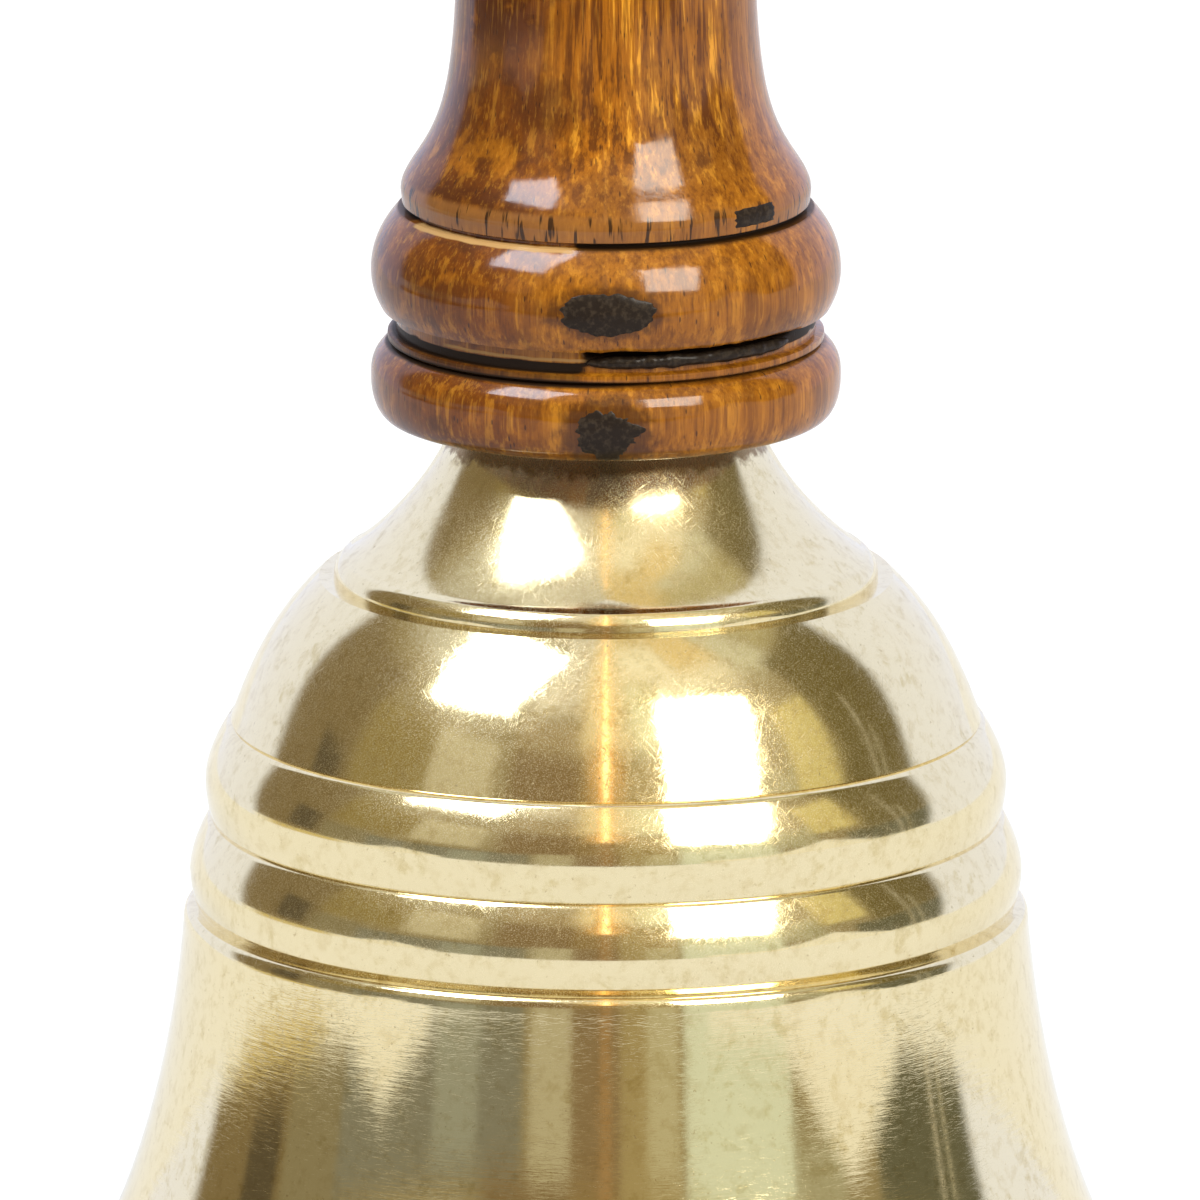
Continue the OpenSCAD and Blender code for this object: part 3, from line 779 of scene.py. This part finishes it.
def make_fillers(material_made):
    for node, lobes, fine, seed, tail in (("knot_filler_upper", 0.04, 0.10, 1.5, 0.0),
                                          ("knot_filler_lower", 0.12, 0.26, 4.5, 0.5)):
        low, high = extent(node)
        shape = blot((high.x - low.x) * 0.98, (high.z - low.z) * 0.98, lobes, fine, seed, tail)
        patch = surface_patch(node.replace("filler_", "patch_"), 0.0, (low.z + high.z) / 2, shape, 0.06, 0.5)
        place(patch, "bell", "dark_filler", material_made, node)
    low, high = extent("lip_filler")
    middle = (low + high) / 2
    angle = math.degrees(math.atan2(middle.x, -middle.y))
    width = (high.x - low.x) / math.cos(math.radians(angle)) * 0.9
    chip = surface_patch("lip_patch", angle, middle.z, block(width, high.z - low.z), 0.05, 0.4)
    place(chip, "bell", "dark_filler", material_made, "lip_filler")
    # a bead of filler that lies in the groove, thicker and thinner along its length
    verts, faces = [], []
    count, sides = 160, 12
    start, end = -5.5, 59.5
    low, high = extent("groove_filler")
    for i in range(count + 1):
        angle = mix(start, end, i / count)
        ends = math.sqrt(max(0.0, 1 - (2 * i / count - 1) ** 8))
        half = (high.z - low.z) / 2 * ends * (0.86 + 0.3 * noise_at(angle, 0.0, 0.8, 21.0))
        thick = 0.5 * ends * (0.9 + 0.35 * noise_at(angle, 0.0, 1.1, 27.0))
        for j in range(sides):
            t = math.pi * j / (sides - 1)
            height = (low.z + high.z) / 2 - half * math.cos(t)
            verts.append(around(angle, GROOVE_R + 0.02 + thick * math.sin(t), height))
    for i in range(count):
        for j in range(sides):
            m = (j + 1) % sides
            faces.append((i * sides + j, (i + 1) * sides + j, (i + 1) * sides + m, i * sides + m))
    strip = new_object("groove_patch", verts, faces)
    place(strip, "bell", "dark_filler", material_made, "groove_filler")


def threaded(start, end, radius, pitch):
    """The outline of a threaded shank: crests and roots."""
    out, z = [], start
    while z + pitch < end:
        out += [(radius, z), (radius, z + 0.15 * pitch), (radius - 0.55 * pitch, z + 0.5 * pitch),
                (radius - 0.55 * pitch, z + 0.6 * pitch)]
        z += pitch
    return out


def make_stud(material_made):
    """The through stud: a threaded shank, and an eye bent from its narrowed end."""
    low, high = extent("handle_stud")
    nut_low = extent("crown_nut")[0].z
    wire, eye_r = 1.6, 4.0
    stud_r, pitch = 3.0, 1.0
    eye_z = low.z + wire + eye_r
    shank_z = eye_z + eye_r
    shank = [(0.01, shank_z - 0.6), (wire, shank_z - 0.6), (wire, shank_z), (2.55, nut_low - 0.15)]
    shank += threaded(nut_low - 0.1, BODY_H + 2, stud_r, pitch)
    shank += [(2.7, BODY_H + 3), (2.7, HANDLE_TOP - 14)]
    shank += threaded(HANDLE_TOP - 14, high.z - 0.6, stud_r, pitch) + [(2.3, high.z), (0.01, high.z)]
    parts = [lathe("shank", shank, 48, sharp_above=50, closed=False)]
    parts.append(tube("eye", ring_points(eye_r, eye_z, False, 110, 3, 352), wire))
    place(join("stud_with_eye", parts), "bell", "zinc_steel", material_made, "handle_stud")


def make_link(material_made):
    """The ring link: one turn of wire whose ends meet in a thin seam."""
    low, high = extent("clapper_link")
    wire = (high.x - low.x) / 2
    radius = (high.z - low.z) / 2 - wire
    points = ring_points(radius, (high.z + low.z) / 2, True, 120, 91.5, 357)
    place(tube("ring_link", points, wire), "link", "wire_steel", material_made, "clapper_link")


def make_clapper(steel_made, brass_made):
    """Rod with a bent loop, and the ball screwed on it."""
    low, high = extent("clapper_rod")
    wire, rod_r = 1.2, 1.8
    loop_r = 3.6
    loop_z = high.z - wire - loop_r
    neck_z = loop_z - loop_r
    loop = tube("loop", ring_points(loop_r, loop_z, False, 120, 184, 352), wire)
    ball_low, ball_high = extent("clapper_ball")
    ball_r = (ball_high.x - ball_low.x) / 2
    ball_z = ball_low.z + ball_r
    rod = [(0.01, low.z), (rod_r - 0.3, low.z), (rod_r, low.z + 0.3), (rod_r, ball_high.z - 1.0)]
    rod += threaded(ball_high.z - 1.0, ball_high.z + 5.0, rod_r, 0.7)
    rod += [(rod_r, ball_high.z + 5.2), (rod_r, neck_z - 2.2), (rod_r - 0.06, neck_z - 1.6),
            (wire + 0.12, neck_z - 0.4), (wire, neck_z + 0.2), (0.01, neck_z + 0.2)]
    shank = lathe("rod", rod, 40, sharp_above=50, closed=False)
    place(join("clapper_rod_with_loop", [loop, shank]), "clapper", "wire_steel", steel_made, "clapper_rod")
    flat_r = 3.5
    top = math.degrees(math.acos(flat_r / ball_r))
    ball = arc(0.0, ball_z, ball_r, -89.0, -24.0, 40)
    ball += [(r - 0.06, z) for r, z in arc(0.0, ball_z, ball_r, -22.8, -22.2, 2)]   # a fine turned line
    ball += arc(0.0, ball_z, ball_r, -21.0, top, 50)
    ball += [(rod_r + 0.25, ball_high.z), (rod_r, ball_high.z - 0.3), (rod_r, ball_high.z - 4)]
    place(lathe("clapper_bob", ball, 96, sharp_above=40, closed=False), "clapper", "clapper_brass", brass_made,
          "clapper_ball")


def soften(node, width):
    """Rounds a CAD node's edges a little."""
    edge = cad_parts[node].modifiers.new("edges", "BEVEL")
    edge.width = width * MM
    edge.segments = 2
    edge.limit_method = "ANGLE"
    edge.angle_limit = math.radians(35)
    edge.harden_normals = True


def dress(node, material_made):
    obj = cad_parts[node]
    obj.data.materials.clear()
    obj.data.materials.append(material_made)


# ---------------------------------------------------------------- studio

# The camera is far away with a long lens, 13 degrees above level
CAMERA_LENS, CAMERA_DISTANCE, CAMERA_UP = 1500.0, 3.704, math.radians(13.0)
CAMERA_TARGET = Vector((-0.00044, 0.0, 0.06697))


def make_camera():
    camera = bpy.data.cameras.new("camera")
    camera.sensor_width = 36.0
    camera.lens = CAMERA_LENS
    camera.clip_start, camera.clip_end = 0.01, 60.0
    obj = bpy.data.objects.new("camera", camera)
    bpy.context.scene.collection.objects.link(obj)
    back = Vector((0.0, -math.cos(CAMERA_UP), math.sin(CAMERA_UP)))
    obj.location = CAMERA_TARGET + CAMERA_DISTANCE * back
    obj.rotation_euler = (CAMERA_TARGET - obj.location).to_track_quat("-Z", "Y").to_euler()
    bpy.context.scene.camera = obj


# The room that the brass mirrors: colour, then the patch's limits around (azimuth) and up, and its soft edge.
ROOM_COLOUR = (0.33, 0.28, 0.17)
ROOM = [
    ((0.55, 0.54, 0.50), -130, -84, 49, 120, 5.0),       # ceiling, from left to right
    ((0.70, 0.66, 0.60), -32, -8, 46, 120, 6.0),
    ((0.84, 0.76, 0.56), -10, 24, 50, 120, 5.0),
    ((0.84, 0.80, 0.68), 24, 70, 52, 120, 6.0),
    ((0.68, 0.68, 0.58), 70, 90, 50, 120, 6.0),
    ((0.52, 0.48, 0.30), 90, 125, 54, 120, 5.0),
    ((1.0, 0.97, 0.84), 3, 38, 63, 76, 4.0),
    ((0.86, 0.70, 0.40), 40, 70, 62, 78, 4.0),
    ((0.66, 0.64, 0.60), -200, 0, 77, 120, 4.0),
    ((0.78, 0.64, 0.36), 0, 200, 77, 120, 4.0),
    ((0.23, 0.18, 0.10), -132, -88, -6, 42, 4.0),        # dark corner on the left
    ((0.11, 0.09, 0.06), -103, -92, 1, 17, 1.5),
    ((0.31, 0.25, 0.11), -88, -60, 16, 34, 2.0),         # olive panel
    ((0.60, 0.56, 0.44), -60, -37, 15, 34, 2.0),         # pale board beside it
    ((0.27, 0.24, 0.16), -90, -72, -6, 14, 1.4),
    ((0.24, 0.24, 0.21), -73, -22, -6, 11, 1.2),         # grey curtain
    ((0.34, 0.36, 0.33), -46, -34, -6, 9, 1.2),
    ((0.25, 0.18, 0.10), -32, -8, 11, 34, 2.5),
    ((0.40, 0.33, 0.22), -32, -8, 34, 44, 3.0),
    ((0.51, 0.48, 0.37), -20, -9, -8, 12, 0.8),          # pale doorway
    ((0.27, 0.20, 0.12), -9, 4, -8, 13, 0.8),
    ((0.30, 0.22, 0.11), -9, 4, 12, 30, 2.0),
    ((0.40, 0.33, 0.18), 4, 20, -8, 32, 1.2),
    ((0.54, 0.51, 0.37), 11, 19, -8, 12, 0.8),
    ((0.78, 0.78, 0.60), 8, 22, 35, 60, 5.0),            # glow between softbox and window
    ((0.74, 0.82, 0.76), 21, 50, -8, 16, 1.2),           # bright wall under the window
    ((0.62, 0.66, 0.52), 21, 50, 14, 22, 2.0),
    ((0.42, 0.41, 0.30), 50, 64, 6, 24, 1.6),
    ((0.70, 0.62, 0.31), 64, 80, 17, 38, 1.6),           # cream sheet on the right
    ((0.14, 0.14, 0.10), 74, 112, -6, 12, 1.2),          # dark corner on the right
    ((0.17, 0.14, 0.06), 81, 120, 12, 52, 2.5),
    ((0.52, 0.50, 0.44), 93.2, 94.4, -4, 30, 0.3),
    ((0.48, 0.46, 0.38), 97, 98, -4, 20, 0.3),
    ((0.95, 0.52, 0.16), -5.5, -3, 29, 32, 0.5),         # warm lamps
    ((0.95, 0.52, 0.16), 4, 6, 29, 32, 0.5),
    ((0.86, 0.74, 0.50), -9, 8, 34, 86, 4.0),            # warm glow round the copper strip
    ((0.62, 0.42, 0.19), -6, 6, 27, 36, 3.0),
    ((1.15, 0.60, 0.20), -2.3, 2.3, 27, 86, 0.9),        # copper strip straight ahead
    ((3.4, 2.6, 1.5), -0.8, 0.8, 28, 86, 0.4),
    ((0.40, 0.26, 0.13), -1.4, 1.4, -8, 27, 0.6),
]
UNDER_TABLE = (0.10, 0.08, 0.055)
# The white background takes over beyond these azimuths, and starts further round for each degree up
WHITE_FROM, WHITE_TO, WHITE_LEAN = -120, 106, 0.24
WHITE = (0.93, 1.0, 1.28)
# The white paper shows beside the bell, left and right of these azimuths, and its edge stands this high;
# it rises to a corner in two places: azimuth, height, half width
PAPER_LEFT, PAPER_RIGHT, PAPER_EDGE = -48, 28, -2.4
PAPER_CORNERS = [(-61, 3.0, 12.0), (66, 9.5, 19.0)]
# Part of the left paper is yellow, between these azimuths
YELLOW, YELLOW_COLOUR = (-112, -82), (0.70, 0.59, 0.28)
# Lights: colour, azimuth and elevation of the middle, roll, and the limits across and up as tangents
PANELS = [
    ((14.0, 15.0, 16.8), -62, 57, 12, -0.20, 0.25, -0.25, 0.245),    # softbox
    ((15.4, 14.7, 13.2), 39, 36, -13, -0.25, 0.20, -0.28, 0.245),     # window
]


def panel_mask(s, direction, azimuth, elevation, roll, a0, a1, b0, b1, soft=0.012):
    """1 where a flat, upright panel turned by roll is seen in that direction."""
    az, el, turn = (math.radians(v) for v in (azimuth, elevation, roll))
    middle = Vector((math.sin(az) * math.cos(el), -math.cos(az) * math.cos(el), math.sin(el)))
    side = Vector((math.cos(az), math.sin(az), 0.0))
    up = middle.cross(side)
    across_axis = side * math.cos(turn) + up * math.sin(turn)
    up_axis = up * math.cos(turn) - side * math.sin(turn)
    ahead = s.dot(direction, middle)
    across = s.math("DIVIDE", s.dot(direction, across_axis), ahead)
    rise = s.math("DIVIDE", s.dot(direction, up_axis), ahead)
    seen = s.math("GREATER_THAN", ahead, 0.1)
    return s.mul(seen, s.between(across, a0, a1, soft), s.between(rise, b0, b1, soft))


def make_world():
    world = bpy.data.worlds.new("studio")
    bpy.context.scene.world = world
    world.use_nodes = True
    s = Shader(world.node_tree)
    direction = s.node("TexCoord").outputs["Generated"]
    x, y, z = s.split(direction)
    azimuth = s.math("DEGREES", s.math("ARCTAN2", x, s.mul(y, -1.0)))
    elevation = s.math("DEGREES", s.math("ARCSINE", s.math("MAXIMUM", s.math("MINIMUM", z, 1.0), -1.0)))
    colour = s.node("RGB").outputs[0]
    colour.default_value = (*ROOM_COLOUR, 1.0)
    for shade, az0, az1, el0, el1, soft in ROOM:
        mask = s.mul(s.between(elevation, el0, el1, soft), s.between(azimuth, az0, az1, soft))
        colour = s.blend(mask, colour, shade)
    edge = PAPER_EDGE
    for middle, top, half in PAPER_CORNERS:
        slope = (top - PAPER_EDGE) / half
        rise = s.sub(top, s.mul(s.math("ABSOLUTE", s.sub(azimuth, middle)), slope))
        edge = s.math("MAXIMUM", edge, rise)
    beside = s.sub(1.0, s.between(azimuth, PAPER_LEFT, PAPER_RIGHT, 1.5))
    paper = s.mul(beside, s.smooth(s.sub(elevation, edge), -0.4, 0.4, 1.0, 0.0))
    colour = s.blend(paper, colour, (0.97, 0.97, 0.95))
    yellow = s.between(azimuth, *YELLOW, 4.0)
    colour = s.blend(s.mul(yellow, s.smooth(elevation, -9.0, -5.5), paper), colour, YELLOW_COLOUR)
    lean = s.mul(s.math("MAXIMUM", elevation, 0.0), WHITE_LEAN)
    left = s.smooth(s.add(azimuth, lean), WHITE_FROM - 3, WHITE_FROM + 3)
    front = s.mul(left, s.smooth(s.sub(azimuth, lean), WHITE_TO - 2.5, WHITE_TO + 2.5, 1.0, 0.0))
    colour = s.blend(front, WHITE, colour)
    for shade, *limits in PANELS:
        colour = s.blend(panel_mask(s, direction, *limits), colour, shade)
    below = s.mul(front, s.smooth(elevation, -9, -6, 1.0, 0.0))
    colour = s.blend(below, colour, UNDER_TABLE)
    seen = s.node("LightPath").outputs["Is Camera Ray"]
    colour = s.blend(seen, colour, (0.98, 0.98, 0.98))
    background = s.node("Background", Color=colour, Strength=1.0)
    out = s.node("OutputWorld")
    s.tree.links.new(background.outputs[0], out.inputs["Surface"])


FLOOR = (-9000, 9000, -9000, 9000)    # x from and to, y from and to
TABLE = (-480, 760, -400, 2000)


def plane(name, x0, x1, y0, y1, z):
    obj = new_object(name, [(x0, y0, z), (x1, y0, z), (x1, y1, z), (x0, y1, z)], [(0, 1, 2, 3)], smooth=False)
    return obj


def make_floor():
    """A pale floor for the camera, and the white table top that the brass mirrors."""
    floor_made, s = material("pale_floor")
    glow = s.node("Emission", Color=(1.0, 0.995, 0.985), Strength=0.40)
    matt = s.node("BsdfDiffuse", Color=(0.42, 0.42, 0.415))
    both = s.node("AddShader")
    s.tree.links.new(glow.outputs[0], both.inputs[0])
    s.tree.links.new(matt.outputs[0], both.inputs[1])
    # from below the floor is clear, so that the inside of the bell can be looked at
    clear = s.node("MixShader")
    s.tree.links.new(s.node("NewGeometry").outputs["Backfacing"], clear.inputs[0])
    s.tree.links.new(both.outputs[0], clear.inputs[1])
    s.tree.links.new(s.node("BsdfTransparent").outputs[0], clear.inputs[2])
    s.tree.links.new(clear.outputs[0], s.node("OutputMaterial").inputs["Surface"])
    floor = plane("floor", *FLOOR, -0.02)
    floor.data.materials.append(floor_made)
    floor.visible_glossy = False
    table_made, s = material("white_table")
    glow = s.node("Emission", Color=(0.87, 0.91, 1.0), Strength=0.46)
    matt = s.node("BsdfDiffuse", Color=(0.29, 0.29, 0.29))
    both = s.node("AddShader")
    s.tree.links.new(glow.outputs[0], both.inputs[0])
    s.tree.links.new(matt.outputs[0], both.inputs[1])
    s.tree.links.new(both.outputs[0], s.node("OutputMaterial").inputs["Surface"])
    table = plane("table", *TABLE, -0.01)
    table.data.materials.append(table_made)
    table.visible_camera = False
    table.visible_diffuse = False
    table.visible_shadow = False


def main():
    outer, inner = polished_brass(), turned_brass()
    zinc = steel("zinc_steel", (0.66, 0.67, 0.69), 0.24, 2.2)
    spring = steel("spring_steel", (0.34, 0.34, 0.36), 0.32, 2.6, (0.16, 0.13, 0.11))
    wire = steel("wire_steel", (0.55, 0.55, 0.57), 0.26, 3.0)
    ball_brass = clapper_brass()
    make_shell(outer, inner)
    make_handle(lacquered_wood())
    make_fillers(dark_filler())
    make_stud(zinc)
    make_link(wire)
    make_clapper(wire, ball_brass)
    for node, made in (("crown_washer", zinc), ("lock_washer", spring), ("crown_nut", zinc),
                       ("clapper_jam_nut", zinc), ("cap_washer", outer), ("cap_nut", outer)):
        dress(node, made)
        soften(node, 0.12)
    make_camera()
    make_world()
    make_floor()
    scene = bpy.context.scene
    scene.view_settings.view_transform = "Standard"
    scene.cycles.caustics_reflective = False
    scene.cycles.caustics_refractive = False
    scene.cycles.sample_clamp_indirect = 6.0


main()
